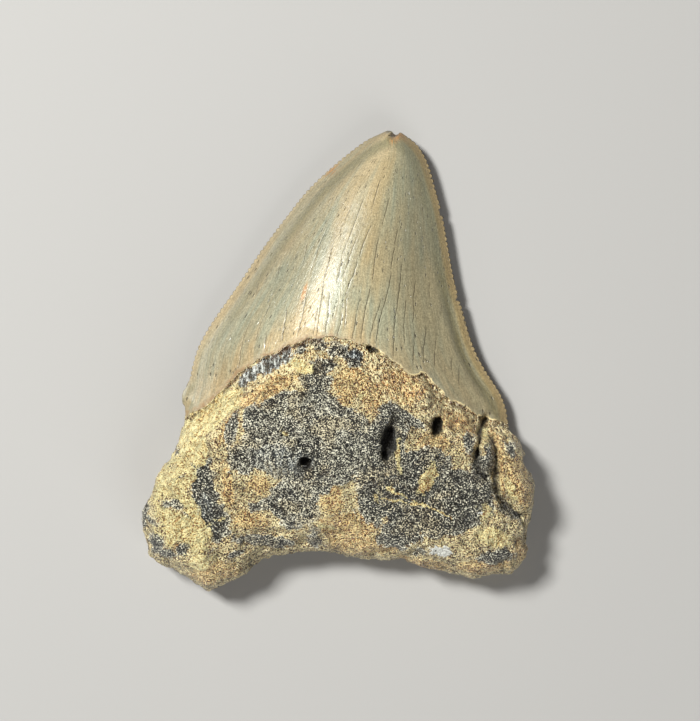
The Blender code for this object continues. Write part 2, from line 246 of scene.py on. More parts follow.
# Cracks of the enamel's inner face: place between the edges and y at the top, the same at the
# bottom, then how dark it is
CRACKS = (
    (0.375, 17.8, 0.428, 3.2, 0.9), (0.460, 24.8, 0.448, 15.8, 0.9), (0.448, 15.6, 0.455, 11.3, 0.8),
    (0.552, 20.6, 0.527, 15.0, 0.9), (0.527, 14.8, 0.504, 8.8, 1.0), (0.504, 8.6, 0.506, 3.2, 1.0),
    (0.617, 18.6, 0.610, 11.4, 0.9), (0.610, 11.2, 0.587, 2.9, 1.0), (0.714, 20.1, 0.698, 13.4, 0.8),
    (0.698, 13.2, 0.642, 2.2, 1.0), (0.752, 14.7, 0.698, 0.2, 1.0), (0.332, 10.3, 0.362, 2.8, 1.0),
    (0.279, 7.8, 0.309, 2.4, 0.8), (0.237, 3.9, 0.247, 0.8, 0.8), (0.440, 10.3, 0.465, 3.4, 0.9),
    (0.517, 10.3, 0.522, 4.1, 0.7), (0.796, 4.5, 0.752, -1.2, 0.9), (0.835, 5.2, 0.799, -0.6, 0.9),
    (0.870, 3.6, 0.826, -1.7, 0.7), (0.914, 0.7, 0.872, -2.8, 0.6), (0.924, -0.6, 0.874, -4.7, 0.6),
    (0.228, 18.8, 0.265, 13.9, 0.5), (0.067, 13.8, 0.121, 9.2, 0.4), (0.139, 15.1, 0.171, 12.0, 0.5),
    (0.766, 9.2, 0.744, 2.2, 0.9), (0.920, 9.2, 0.898, 5.8, 0.5), (0.883, 13.1, 0.864, 9.2, 0.6),
    (0.395, 24.0, 0.385, 18.6, 0.7), (0.640, 25.0, 0.625, 20.0, 0.7), (0.570, 9.5, 0.556, 2.7, 0.8),
    (0.190, 9.5, 0.215, 1.0, 0.5), (0.150, 6.5, 0.165, -1.8, 0.5), (0.545, 28.4, 0.530, 22.6, 0.7),
    (0.662, 9.4, 0.620, 2.6, 0.8), (0.402, 8.4, 0.412, 3.2, 0.7), (0.815, 12.4, 0.785, 5.4, 0.7),
    (0.300, 20.2, 0.320, 12.2, 0.6), (0.495, 19.0, 0.480, 12.2, 0.7),
)
# Cracks of the outer face, spread over it by rule
OUTER_CRACKS = tuple(
    (0.08 + 0.07 * n, 24.0 - 3.1 * (n % 4), 0.1 + 0.067 * n, -4.0 + 1.3 * (n % 3), 0.75) for n in range(13)
)
CRACK_SPACING = 0.24
# Rows of points along a crack: offset, share of its depth
CRACK_ROWS = ((-0.09, 0), (-0.025, 1), (0.025, 1), (0.09, 0))
CRACK_DEPTH = 0.03
# Sway of a crack as size and share of the crown's width
CRACK_SWAY = ((3.5, 0.008), (0.7, 0.0024))
# Gaps in a crack: their size, and the noise where they end; then how its ends taper
CRACK_GAP_SIZE = 0.9
CRACK_GAPS = (-0.9, -0.1)
CRACK_TAPER = 1.2

# Stains of the inner face, as ellipses: x, y, half widths, turn in degrees
CREAM = (
    (-19.2, -8.2, 5.8, 1.9, 41), (-22.2, -12.8, 2.2, 3.4, 20), (-24.9, -17.9, 3.4, 3.4, 30),
    (-22.6, -25.2, 2.6, 5.4, 16), (-25.4, -24.6, 3.0, 3.0, 0), (-27.6, -21.2, 1.1, 1.8, -20),
    (-20.8, -30.6, 1.8, 1.3, 0), (-25.3, -27.2, 1.2, 1.2, 0), (-5.5, -0.9, 1.8, 0.9, -30),
    (13.6, -18.0, 1.1, 2.5, -22), (9.2, -14.6, 0.4, 2.2, 4), (7.7, -19.2, 0.45, 0.45, 0),
    (5.5, -20.6, 0.5, 0.45, 0), (23.7, -27.0, 2.7, 1.5, -12), (-8.2, -11.0, 0.25, 0.6, 10),
    (-16.8, -7.8, 0.35, 0.4, 0), (-18.2, -24.6, 0.6, 0.35, 10), (-1.9, -25.2, 1.3, 0.4, -20),
    (15.6, -28.8, 1.1, 0.55, -8), (26.1, -19.8, 0.7, 2.2, 15), (21.9, -23.2, 0.8, 0.9, 20),
    (-22.8, -7.8, 1.4, 0.8, 20), (22.4, -11.6, 0.6, 1.3, 0), (3.2, -5.0, 0.5, 0.5, 0),
)
# Dark spots within the cream
CREAM_GAPS = (
    (-25.1, -22.0, 1.8, 0.9, -10), (-23.2, -23.5, 1.2, 0.3, -40), (-27.9, -24.7, 1.2, 0.7, -20),
    (-27.5, -28.0, 1.3, 1.8, -20), (-23.5, -28.8, 1.4, 0.9, 10), (-29.6, -23.7, 0.5, 1.5, 0),
    (-26.0, -16.2, 0.5, 0.3, 0), (-23.9, -17.9, 0.8, 0.25, 20),
)
DARK = (
    *CREAM_GAPS,
    (-4.0, -12.4, 10.6, 6.6, -4), (-6.4, -7.4, 6.4, 2.6, 8), (-13.0, -9.4, 1.6, 2.6, -20),
    (-15.4, -14.2, 1.4, 1.2, 10), (-16.2, -11.0, 0.9, 2.4, -15), (7.8, -12.0, 2.6, 5.2, 0),
    (10.4, -8.9, 2.8, 0.8, -35), (-14.4, -15.2, 2.4, 2.2, 0), (-20.2, -19.4, 2.2, 5.4, 8),
    (-7.9, -21.8, 2.4, 3.9, 8), (-11.8, -22.3, 2.2, 0.9, 0), (16.9, -21.8, 5.6, 5.0, 10),
    (10.4, -20.9, 4.4, 4.8, 0), (21.6, -18.4, 1.7, 4.4, 5), (22.8, -15.4, 1.0, 2.4, 0),
    (5.4, -20.6, 3.2, 4.6, 0), (9.5, -26.2, 3.5, 2.5, 15), (-25.6, -29.2, 1.5, 0.8, 0),
    (-18.9, -24.2, 2.3, 3.4, 20), (-11.2, -27.8, 4.4, 0.9, -6), (-3.6, -27.2, 1.0, 1.6, 0),
    (-5.2, -23.2, 2.4, 2.2, 0), (24.0, -30.0, 2.6, 1.3, 15), (-3.4, -3.4, 2.4, 2.0, -20),
    (26.3, -13.6, 0.6, 1.2, 20), (25.6, -22.9, 1.5, 0.7, -35), (-15.6, -29.6, 1.4, 0.5, 10),
    (13.0, -29.2, 1.4, 0.5, 20), (19.9, -12.6, 0.8, 1.6, 0), (-24.6, -14.2, 0.5, 0.9, 0),
    (-2.6, 1.9, 1.4, 0.7, 0), (-0.1, 1.4, 1.7, 1.0, 0), (2.3, 0.5, 1.9, 1.2, -20),
    (-5.4, 1.4, 1.2, 0.5, 20), (-2.4, -1.2, 1.9, 1.4, 0), (13.2, -15.9, 4.0, 2.5, 0),
    (22.2, -20.0, 1.6, 3.4, 10), (-3.4, -18.6, 3.0, 2.0, 0), (14.8, -25.6, 3.0, 1.4, 15),
    (4.6, -16.4, 3.2, 2.6, 0), (-4.6, -20.4, 2.0, 3.0, 0), (7.6, -9.6, 2.2, 2.2, 0),
    (26.6, -23.4, 1.8, 0.8, -35),
)
ORANGE = (
    (-10.6, -4.7, 5.2, 1.4, 27), (1.9, -3.6, 3.0, 2.0, 0), (0.6, -6.4, 1.3, 1.7, 0),
    (5.0, -6.0, 1.5, 3.0, 0), (9.6, -4.2, 3.2, 2.6, -20), (-11.9, -18.9, 1.5, 1.4, 0),
    (-5.8, -17.2, 0.7, 1.1, 20), (-1.1, -20.9, 1.7, 2.8, 0), (1.4, -25.4, 4.8, 2.0, 0),
    (-6.6, -23.7, 1.4, 1.0, 0), (-13.0, -24.3, 2.8, 1.4, -8), (-16.6, -19.4, 0.9, 3.6, 8),
    (4.0, -28.6, 5.5, 1.5, 0), (-18.8, -32.4, 3.8, 1.6, 10), (14.4, -12.6, 2.6, 1.6, -10),
    (18.4, -9.8, 3.0, 1.2, -25), (22.0, -31.4, 4.0, 1.3, 5), (24.5, -13.6, 0.8, 3.2, 18),
    (25.2, -18.0, 0.7, 2.6, 8), (27.6, -18.4, 1.6, 4.4, 15), (27.6, -29.2, 1.0, 1.8, 0),
    (-24.2, -28.6, 1.2, 0.8, 10), (-16.8, -10.6, 0.8, 2.4, -30), (13.0, -31.3, 4.0, 0.8, -10),
)
# Glassy blue-black stains, most of them in a band next to the enamel
GLASSY = (
    (-13.6, -2.9, 2.0, 0.9, 40), (-10.4, -0.9, 2.8, 1.15, 32), (-7.6, 0.5, 1.2, 0.9, 28),
    (-8.6, -15.2, 4.6, 2.2, -10), (-20.0, -22.4, 1.0, 1.6, 0), (2.6, 0.6, 1.0, 0.4, -30),
)
# Rusty spots of the crown, and white crust of the root
RUST = (
    (9.1, 34.3, 0.9, 0.5, 20), (-0.9, 29.2, 0.4, 0.25, 40), (-5.3, 10.3, 0.22, 0.4, -15),
)
WHITE = ((15.7, -29.3, 1.5, 0.8, -10), (21.9, -23.3, 0.5, 0.5, 0))
# Raggedness of the stains as size and reach, and how wide their soft edges are
STAIN_RAGGED = ((3.4, 0.5), (1.1, 0.35))
STAIN_FADE = 2.4
# Broad stains of the outer face: size, middle value and reach, and the share that the rare ones keep
OUTER_STAIN_SIZE = 7.0
OUTER_STAIN_LEVEL = 0.38
OUTER_STAIN_REACH = 0.9
RARE_STAINS = ("glassy", "rust", "white")
RARE_SHARE = 0.3
# Thin pale veins across the dark stains, how far one reaches to each side, and how strong it is
VEINS = (
    ((7.2, -19.0), (8.2, -20.0), (9.5, -20.3), (11.0, -21.3), (12.6, -21.8), (15.0, -22.9), (17.3, -24.1)),
    ((6.4, -21.2), (7.4, -21.1), (8.3, -21.4), (9.4, -21.3), (10.6, -22.0), (12.0, -21.9), (13.4, -22.4)),
)
VEIN_REACH = 0.16
VEIN_STRENGTH = 0.9
# Painted shade of furrows and holes, deeper ones darker: how dark at no depth, for each millimetre and at
# most; then where it fades out
FURROW_SHADE = (0.3, 0.3, 0.7)
FURROW_SHADE_FADE = 1.2
PIT_SHADE = (0.25, 0.4, 1.0)
PIT_SHADE_FLOOR = 0.6
# The dark stain's fine lines curve round its hole
SWIRL_MIDDLE = (-4.9, -15.5)
SWIRL_RADIUS = 6.0
# The crown's patterns: the width that they are drawn at, and how far apart the two faces' lie
FLOW_WIDTH = 38.0
FLOW_FACE_GAP = 50.0
# Distances from the neck and the edges are kept up to this one
FARTHEST = 12.0


def spline(points, steps=10):
    """A smooth line through the points, by Catmull and Rom's rule."""
    p = np.array(points, float)
    p = np.vstack([2 * p[0] - p[1], p, 2 * p[-1] - p[-2]])
    t = np.linspace(0, 1, steps, endpoint=False)[:, None]
    spans = [
        0.5 * (2 * b + (c - a) * t + (2 * a - 5 * b + 4 * c - d) * t**2 + (3 * b - a - 3 * c + d) * t**3)
        for a, b, c, d in zip(p[:-3], p[1:-2], p[2:-1], p[3:])
    ]
    return np.vstack([*spans, p[-2]])


def lengths_along(line):
    return np.concatenate([[0], np.cumsum(np.hypot(*np.diff(line, axis=0).T))])


def spaced(line, count):
    """The line again, with this many even steps."""
    along = lengths_along(line)
    at = np.linspace(0, along[-1], count + 1)
    return np.column_stack([np.interp(at, along, line[:, 0]), np.interp(at, along, line[:, 1])])


def right_hand_side(line):
    """Unit vectors to the right of the way the line goes."""
    way = np.gradient(line, axis=0)
    way /= np.hypot(*way.T)[:, None]
    return np.column_stack([way[:, 1], -way[:, 0]])


def distance(points, line):
    """How far each point is from a line of straight pieces."""
    nearest = np.full(len(points), np.inf)
    for a, b in zip(line[:-1], line[1:]):
        way = b - a
        share = np.clip(((points - a) @ way) / max(way @ way, 1e-12), 0, 1)
        gap = points - a - share[:, None] * way
        nearest = np.minimum(nearest, np.hypot(*gap.T))
    return nearest


def inside(points, outline):
    """Which points lie within the closed outline."""
    x, y = points.T
    found = np.zeros(len(points), bool)
    for (x0, y0), (x1, y1) in zip(outline, np.roll(outline, -1, axis=0)):
        if y0 != y1:
            crosses = (y0 > y) != (y1 > y)
            found ^= crosses & (x < (x1 - x0) * (y - y0) / (y1 - y0) + x0)
    return found


def smooth_step(low, high, value):
    t = np.clip((value - low) / (high - low), 0, 1)
    return t * t * (3 - 2 * t)


def rounded(inset, radius):
    """Height of a quarter ellipse over its inset from the rim, from 0 to 1."""
    left = 1 - np.clip(inset / radius, 0, 1)
    return np.sqrt(1 - left**2)


def unevenness(points, size, seed):
    """Smooth noise between about -1 and 1, with lumps of this size."""
    return np.array([noise.noise(Vector((x / size, y / size, seed))) for x, y in points])


def ragged(points, octaves, seed):
    """Noises of several sizes together, each with its reach."""
    return sum(
        reach * unevenness(points, size, seed + 1.37 * n + 0.4) for n, (size, reach) in enumerate(octaves)
    )


def swayed(points, octaves, seeds):
    """The points pushed about a little, so that what is drawn over them gets ragged outlines."""
    return points + np.column_stack([ragged(points, octaves, seed) for seed in seeds])


def swelling(points, swells):
    """Height of soft mounds, each x, y, half widths in x and y, height."""
    x, y = points.T
    return sum(
        height * np.exp(-(((x - x0) / wide) ** 2) - ((y - y0) / tall) ** 2)
        for x0, y0, wide, tall, height in swells
    )


def share_of_ellipse(points, x0, y0, wide, tall, turn):
    """Distance from an ellipse's middle, 1 on its line."""
    angle = math.radians(turn)
    dx, dy = points[:, 0] - x0, points[:, 1] - y0
    along = dx * math.cos(angle) + dy * math.sin(angle)
    up = dy * math.cos(angle) - dx * math.sin(angle)
    return np.hypot(along / wide, up / tall)


def edge_furrow(points, edge, furrow):
    """Depth of a furrow that runs along a cutting edge."""
    inset, half_width, depth, low, high = furrow
    gap = (distance(points, edge) - inset) / half_width
    y = points[:, 1]
    ends = smooth_step(low, low + EDGE_FURROW_TAPER, y) * (1 - smooth_step(high - EDGE_FURROW_TAPER, high, y))
    return depth * np.exp(-(gap**2)) * ends


def above_line(points, neck):
    """Distance from the smooth line through a neck's points, above 0 on the crown."""
    line = spline(neck, NECK_STEPS)
    side = np.where(points[:, 1] > np.interp(points[:, 0], line[:, 0], line[:, 1]), 1, -1)
    return side * distance(points, line)


def from_neck(points, neck):
    """Distance from the enamel's ragged end, above 0 on the crown."""
    return above_line(points, neck) + ragged(points, NECK_RAGGED, 5.0)


class Form:
    """The tooth's heights over its plan view."""

    def __init__(self):
        self.left = spline(LEFT_EDGE)
        self.right = spline(RIGHT_EDGE)
        self.root = spline((RIGHT_EDGE[-1], *ROOT_OUTLINE, *EDGE_LUMP, LEFT_EDGE[0]))
        self.outline = np.vstack([self.left, TIP_NOTCH, self.right, self.root[1:-1]])
        self.closed_outline = np.vstack([self.outline, self.outline[:1]])

    def edges(self, y):
        """Where the crown's left and right sides are at each y, also below the cutting edges."""
        left = np.vstack([LEFT_FOOT, self.left])
        right = np.vstack([RIGHT_FOOT, self.right[::-1]])
        return np.interp(y, left[:, 1], left[:, 0]), np.interp(y, right[:, 1], right[:, 0])

    def across(self, points):
        """Where a point lies between the cutting edges, 0 at the left one and 1 at the right one."""
        low, high = self.edges(points[:, 1])
        return np.clip((points[:, 0] - low) / (high - low), 0, 1)

    def rim_height(self, points):
        """Height that both faces start from at the rim."""
        on_crown = smooth_step(*RIM_SLOPE, above_line(points, INNER_NECK))
        return ROOT_RIM_HEIGHT + (CUTTING_EDGE_HEIGHT - ROOT_RIM_HEIGHT) * on_crown

    def upper(self, points):
        """Height of the inner face."""
        inset = distance(points, self.closed_outline)
        neck = from_neck(points, INNER_NECK)
        below_tip = TIP_Y - points[:, 1]
        rise = np.clip(below_tip / CROWN_LENGTH, 0, 1) ** RISE_POWER
        rise = CROWN_RISE_AT_TIP + (CROWN_RISE_AT_NECK - CROWN_RISE_AT_TIP) * rise
        arch = np.sin(math.pi * self.across(points)) ** INNER_ARCH_POWER
        crown = rise * arch * rounded(below_tip + TIP_BLUNTNESS, TIP_ROUNDING)
        crown = crown + EDGE_SLOPE * np.minimum(inset, EDGE_SLOPE_WIDTH)
        root = ROOT_SHOULDER + swelling(points, SWELLINGS)
        root = root * rounded(inset, ROOT_INNER_ROUNDING)
        on_crown = smooth_step(-SHOULDER_SLOPE, 0.0, neck)
        height = self.rim_height(points) + root + (crown - root) * on_crown
        lip = smooth_step(-LIP_STEP, 0.0, neck) * np.exp(-np.maximum(neck, 0) / LIP_SPREAD)
        height += LIP_HEIGHT * lip * smooth_step(0.0, LIP_RIM_FADE, inset)
        height -= edge_furrow(points, self.left, LEFT_FURROW)
        height -= edge_furrow(points, self.right, RIGHT_FURROW)
        on_root = (1 - on_crown) * smooth_step(0.0, RIM_FADE, inset)
        height += on_root * LUMP_REACH * unevenness(points, LUMP_SIZE, 3.0)
        height += on_root * KNOB_REACH * unevenness(points, KNOB_SIZE, 7.0)
        moved = swayed(points, PIT_SWAY, PIT_SEEDS)
        for route, half_width, depth in FURROWS:
            gap = distance(moved, spline(route, ROUTE_STEPS))
            height -= depth * np.exp(-((gap / half_width) ** 2))
        for *ellipse, depth in PITS:
            height -= depth * (1 - smooth_step(PIT_FLOOR, 1.0, share_of_ellipse(moved, *ellipse)))
        return height

    def lower(self, points):
        """Height of the outer face, which is cut off level where the tooth rests."""
        inset = distance(points, self.closed_outline)
        on_crown = smooth_step(*OUTER_SHOULDER, from_neck(points, OUTER_NECK))
        belly, *lobes = RESTS
        arch = np.sin(math.pi * self.across(points)) ** OUTER_ARCH_POWER
        crown = (CROWN_BACK + swelling(points, [belly])) * arch
        crown = crown * smooth_step(0.0, OUTER_TIP_TAPER, TIP_Y - points[:, 1])
        root = ROOT_BACK + swelling(points, [*lobes, BACK_HOLLOW])
        root = root * rounded(inset, ROOT_OUTER_ROUNDING)
        drop = root + (crown - root) * on_crown
        on_root = (1 - on_crown) * smooth_step(0.0, RIM_FADE, inset)
        drop += on_root * OUTER_LUMP_REACH * unevenness(points, LUMP_SIZE, 11.0)
        return np.maximum(self.rim_height(points) - drop, 0)


def plain(points):
    """Points with no lift and no crack, as x, y, lift, crack."""
    return np.column_stack([points, np.zeros((len(points), 2))])


def edge_rows(edge, nicks, seed):
    """A cutting edge's rim, and the rows of points behind it, which carry its beads inwards."""
    count = round(lengths_along(edge)[-1] / SERRATION_PITCH) * SERRATION_POINTS
    line = spaced(edge, count)
    side = right_hand_side(line)
    phase = np.arange(count + 1) / SERRATION_POINTS
    size = BEAD_SIZE_LEFT + BEAD_SIZE_VARIES * unevenness(line, WEAR_SIZE, seed)
    size *= 1 - smooth_step(*WORN_TIP, line[:, 1])
    bead = np.abs(np.cos(math.pi * phase)) ** BEAD_POWER - 0.5
    notch = -SERRATION_DEPTH * size * bead
    for y, half_width, depth in nicks:
        notch += depth * np.exp(-(((line[:, 1] - y) / half_width) ** 2))
    rows = []
    for inset in (0.0, *EDGE_INSETS):
        fading = max(0.0, 1 - inset / SERRATION_REACH)
        row = line + side * (inset + fading * notch)[:, None]
        lift = BEAD_LIFT * size * bead * fading * (inset > 0)
        rows.append(np.column_stack([row, lift, np.zeros(len(row))]))
    return rows[0][:, :2], rows[1:]


def crack_rows(form, cracks, seed):
    """Four rows of points along each crack, two low dark ones between two at its sides."""
    found = []
    for n, (share_high, high, share_low, low, strength) in enumerate(cracks):
        y = np.arange(low, high, CRACK_SPACING)
        place = np.column_stack([y, np.full(len(y), 10.3 * n + 3.7)])
        sway = sum(reach * unevenness(place, size, seed) for size, reach in CRACK_SWAY)
        share = share_low + (share_high - share_low) * (y - low) / (high - low)
        left, right = form.edges(y)
        middle = left + (share + sway) * (right - left)
        dashes = smooth_step(*CRACK_GAPS, unevenness(place, CRACK_GAP_SIZE, seed + 1))
        ends = np.sqrt(np.clip(np.minimum(y - low, high - y) / CRACK_TAPER, 0, 1))
        crack = strength * dashes * ends
        for offset, share_of_depth in CRACK_ROWS:
            here = crack * share_of_depth
            found.append(np.column_stack([middle + offset, y, -CRACK_DEPTH * here, here]))
    return np.vstack(found)


def apart(points, others, room):
    """The points that keep this much room from all the others."""
    tree = kdtree.KDTree(len(others))
    for n, (x, y) in enumerate(others[:, :2]):
        tree.insert((x, y, 0), n)
    tree.balance()
    return points[[tree.find((x, y, 0))[2] > room for x, y in points[:, :2]]]


def grid_points(form, spacing, seed):
    """A grid of triangles over the plan view, a little out of order."""
    low, high = form.outline.min(0), form.outline.max(0)
    rows = np.arange(low[1], high[1], spacing * math.sqrt(3) / 2)
    points = np.vstack([
        np.column_stack([xs, np.full(len(xs), y)])
        for n, y in enumerate(rows)
        for xs in [np.arange(low[0] + (n % 2) * spacing / 2, high[0], spacing)]
    ])
    points += np.random.default_rng(seed).uniform(-1, 1, points.shape) * GRID_JITTER * spacing
    points = points[inside(points, form.outline)]
    return plain(points[distance(points, form.closed_outline) > GRID_INSET])


def triangles_within(rim, inner):
    """Triangles over the points, and the inner edges that join two points of the rim."""
    points = [Vector(p) for p in np.vstack([rim, inner[:, :2]])]
    faces = geometry.delaunay_2d_cdt(points, [], [list(range(len(rim)))], WITHIN_RIM, JOIN_GAP)[2]
    edges = {(min(a, b), max(a, b)) for f in faces for a, b in zip(f, (*f[1:], f[0]))}
    chords = [(a, b) for a, b in edges if b < len(rim) and b - a not in (1, len(rim) - 1)]
    return [tuple(f) for f in faces], sorted(chords)


def surface(form, rim, rows, cracks, spacing, seed):
    """The points of one face within the rim, and its triangles."""
    closed_rim = np.vstack([rim, rim[:1]])
    clear = inside(rows[:, :2], rim) & (distance(rows[:, :2], closed_rim) > RIM_CLEARANCE)
    inner = rows[clear]
    inner = np.vstack([inner, apart(cracks, inner, CRACK_CLEARANCE)])
    inner = np.vstack([inner, apart(grid_points(form, spacing, seed), inner, GRID_CLEARANCE * spacing)])
    faces, chords = triangles_within(rim, inner)
    while chords:
        halves = np.array([(rim[a] + rim[b]) / 2 for a, b in chords])
        inner = np.vstack([inner, plain(halves)])
        faces, chords = triangles_within(rim, inner)
    return inner, faces


def counter_clockwise(face, plan):
    """The face turned to look up."""
    a, b, c = (plan[i] for i in face)
    turn = (b[0] - a[0]) * (c[1] - a[1]) - (b[1] - a[1]) * (c[0] - a[0])
    return face if turn > 0 else face[::-1]


def root_rows(form):
    """The root's rim, and the rows of points behind it, closer where its side is steep."""
    line = spaced(form.root, round(lengths_along(form.root)[-1] / ROOT_SPACING))
    side = right_hand_side(line)
    dents = ragged(line, RIM_DENTS, 71.0)
    rows = []
    for inset in ROOT_INSETS:
        row = line + side * (inset + np.exp(-inset / DENT_INSET) * dents)[:, None]
        row = row[inside(row, form.outline)]
        rows.append(plain(row))
    return (line + side * dents[:, None])[1:-1], rows


class Surface:
    """The fine mesh as arrays: corners, faces, and for each corner its plan, side and crack."""

    def __init__(self, form):
        left, left_rows = edge_rows(form.left, (), -3.0)
        right, right_rows = edge_rows(form.right, NICKS, 8.0)
        root, behind_root = root_rows(form)
        rim = np.vstack([left, TIP_NOTCH, right, root])
        rows = np.vstack([*left_rows, *right_rows, *behind_root])
        cracks = crack_rows(form, CRACKS, 21.4)
        top, top_faces = surface(form, rim, rows, cracks, INNER_SPACING, 1)
        cracks = crack_rows(form, OUTER_CRACKS, 43.4)
        under, under_faces = surface(form, rim, rows, cracks, OUTER_SPACING, 2)
        self.plan = np.vstack([rim, top[:, :2], under[:, :2]])
        self.side = np.concatenate([np.zeros(len(rim)), np.ones(len(top)), -np.ones(len(under))])
        self.crack = np.concatenate([np.zeros(len(rim)), top[:, 3], under[:, 3]])
        height = np.concatenate([
            form.rim_height(rim),
            form.upper(top[:, :2]) + top[:, 2],
            form.lower(under[:, :2]) - under[:, 2],
        ])
        self.corners = np.column_stack([self.plan, height])
        rim_and_top = np.vstack([rim, top[:, :2]])
        rim_and_under = np.vstack([rim, under[:, :2]])
        self.faces = [counter_clockwise(f, rim_and_top) for f in top_faces]
        for f in under_faces:
            f = counter_clockwise(f, rim_and_under)[::-1]
            self.faces.append(tuple(i if i < len(rim) else i + len(top) for i in f))


STAINS = {"cream": CREAM, "dark": DARK, "orange": ORANGE, "glassy": GLASSY, "rust": RUST, "white": WHITE}
# Relief pushed out along the surface's normals, as size and reach, and where the root's begins
ROOT_GRAIN = ((2.4, 0.4), (1.0, 0.24), (0.5, 0.13))
CROWN_WAVES = ((2.5, 0.02),)
GRAIN_BEGINS = -0.6
# The cutting edges stay as they are for this far inwards
RELIEF_FADE = 1.5


def noise_in_space(corners, octaves):
    """Noises of several sizes together at the corners, each with its reach."""
    found = np.zeros(len(corners))
    for size, reach in octaves:
        found += reach * np.array([noise.noise(Vector(p)) for p in corners / size])
    return found


def smoothed_spots(points, spots, seed):
    """How far each point is within the nearest stain, 0.5 on its line, with ragged edges."""
    moved = swayed(points, STAIN_RAGGED, (seed, seed + 9))
    nearest = np.full(len(points), np.inf)
    for x, y, wide, tall, turn in spots:
        share = share_of_ellipse(moved, x, y, wide, tall, turn)
        nearest = np.minimum(nearest, (share - 1) * math.sqrt(wide * tall))
    return np.clip(0.5 - nearest / STAIN_FADE, 0, 1)


def stain_above(plan, name, spots, seed):
    """A stain's share on the inner face."""
    share = smoothed_spots(plan, spots, seed)
    if name == "cream":
        moved = swayed(plan, PIT_SWAY, PIT_SEEDS)
        from_vein = np.min([distance(moved, spline(route, ROUTE_STEPS)) for route in VEINS], axis=0)
        share = np.maximum(share, VEIN_STRENGTH * np.exp(-((from_vein / VEIN_REACH) ** 2)))
        share = np.minimum(share, 1 - smoothed_spots(plan, CREAM_GAPS, 90.0))
    return share


def stain_below(plan, name, seed):
    """A stain's share on the outer face, in broad patches."""
    patches = OUTER_STAIN_REACH * unevenness(plan, OUTER_STAIN_SIZE, seed)
    share = np.clip(OUTER_STAIN_LEVEL + patches, 0, 1)
    return share * RARE_SHARE if name in RARE_STAINS else share


def hollow_shade_darkness(depth, shades):
    """How dark the painted shade in furrows and holes of this depth is."""
    least, each_millimetre, most = shades
    return min(most, least + each_millimetre * depth)


def painted_hollow_shade(plan):
    """How dark the painted shade in the furrows and holes of the inner face is at each point."""
    moved = swayed(plan, PIT_SWAY, PIT_SEEDS)
    shade = np.zeros(len(plan))
    for route, half_width, depth in FURROWS:
        if depth > 0:
            gap = distance(moved, spline(route, ROUTE_STEPS)) / half_width
            shade = np.maximum(shade, hollow_shade_darkness(depth, FURROW_SHADE) * np.exp(-(gap**2) * FURROW_SHADE_FADE))
    for *ellipse, depth in PITS:
        within = 1 - smooth_step(PIT_SHADE_FLOOR, 1.0, share_of_ellipse(moved, *ellipse))
        shade = np.maximum(shade, hollow_shade_darkness(depth, PIT_SHADE) * within)
    return shade


def with_relief(form, fine, normals, neck):
    """The corners pushed out by the grain of the root and the slight waves of the crown."""
    on_root = 1 - smooth_step(GRAIN_BEGINS, 0.0, neck)
    relief = on_root * noise_in_space(fine.corners, ROOT_GRAIN)
    relief += (1 - on_root) * noise_in_space(fine.corners, CROWN_WAVES)
    cutting_edges = np.vstack([form.left, TIP_NOTCH, form.right])
    relief *= smooth_step(0.0, RELIEF_FADE, distance(fine.plan, cutting_edges))
    corners = fine.corners + normals * relief[:, None]
    corners[:, 2] = np.maximum(corners[:, 2], 0)
    return corners


def add_attribute(mesh, name, values, kind="FLOAT"):
    """Values for each corner, for the material to read."""
    data = mesh.attributes.new(name, kind, "POINT").data
    data.foreach_set("vector" if kind == "FLOAT_VECTOR" else "value", np.ascontiguousarray(values).ravel())


def add_attributes(mesh, form, fine, neck):
    """What the material needs to know of each corner."""
    plan = fine.plan
    on_top = fine.side >= 0
    from_middle = plan - np.array(SWIRL_MIDDLE)
    radius = np.hypot(*from_middle.T)
    way = from_middle / np.maximum(radius, 0.1)[:, None] * SWIRL_RADIUS
    add_attribute(mesh, "swirl", np.column_stack([radius, way]), "FLOAT_VECTOR")
    across = (form.across(plan) - 0.5) * FLOW_WIDTH
    flow = np.column_stack([across, plan[:, 1], fine.side * FLOW_FACE_GAP])
    add_attribute(mesh, "flow", flow, "FLOAT_VECTOR")
    add_attribute(mesh, "from_neck", np.clip(neck, -FARTHEST, FARTHEST))
    from_edge = np.minimum(distance(plan, form.left), distance(plan, form.right))
    add_attribute(mesh, "from_edge", np.clip(from_edge, 0, FARTHEST))
    add_attribute(mesh, "crack", fine.crack)
    # Painted shade for the furrows and holes, on the inner face only
    add_attribute(mesh, "hollow_shade", painted_hollow_shade(plan) * on_top)
    for n, (name, spots) in enumerate(STAINS.items()):
        above = stain_above(plan, name, spots, 60.0 + 20 * n)
        below = stain_below(plan, name, 200.0 + n)
        add_attribute(mesh, name, np.where(on_top, above, below))


def tooth_mesh(form):
    """The fine mesh in metres, in the middle of the node's box, with what its material reads."""
    fine = Surface(form)
    mesh = bpy.data.meshes.new("tooth_surface")
    mesh.from_pydata(fine.corners.tolist(), [], fine.faces)
    normals = np.empty(len(fine.corners) * 3, np.float32)
    mesh.vertex_normals.foreach_get("vector", normals)
    inner_neck, outer_neck = from_neck(fine.plan, INNER_NECK), from_neck(fine.plan, OUTER_NECK)
    neck = np.where(fine.side >= 0, inner_neck, outer_neck)
    corners = with_relief(form, fine, normals.reshape(-1, 3), neck)
    low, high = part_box("tooth")
    corners[:, :2] -= (fine.corners.min(0) + fine.corners.max(0))[:2] / 2
    corners[:, :2] += np.array([low[0] + high[0], low[1] + high[1]]) / 2 / MM
    mesh.vertices.foreach_set("co", (corners * MM).ravel())
    mesh.update()
    mesh.validate()
    mesh.shade_smooth()
    add_attributes(mesh, form, fine, neck)
    return mesh


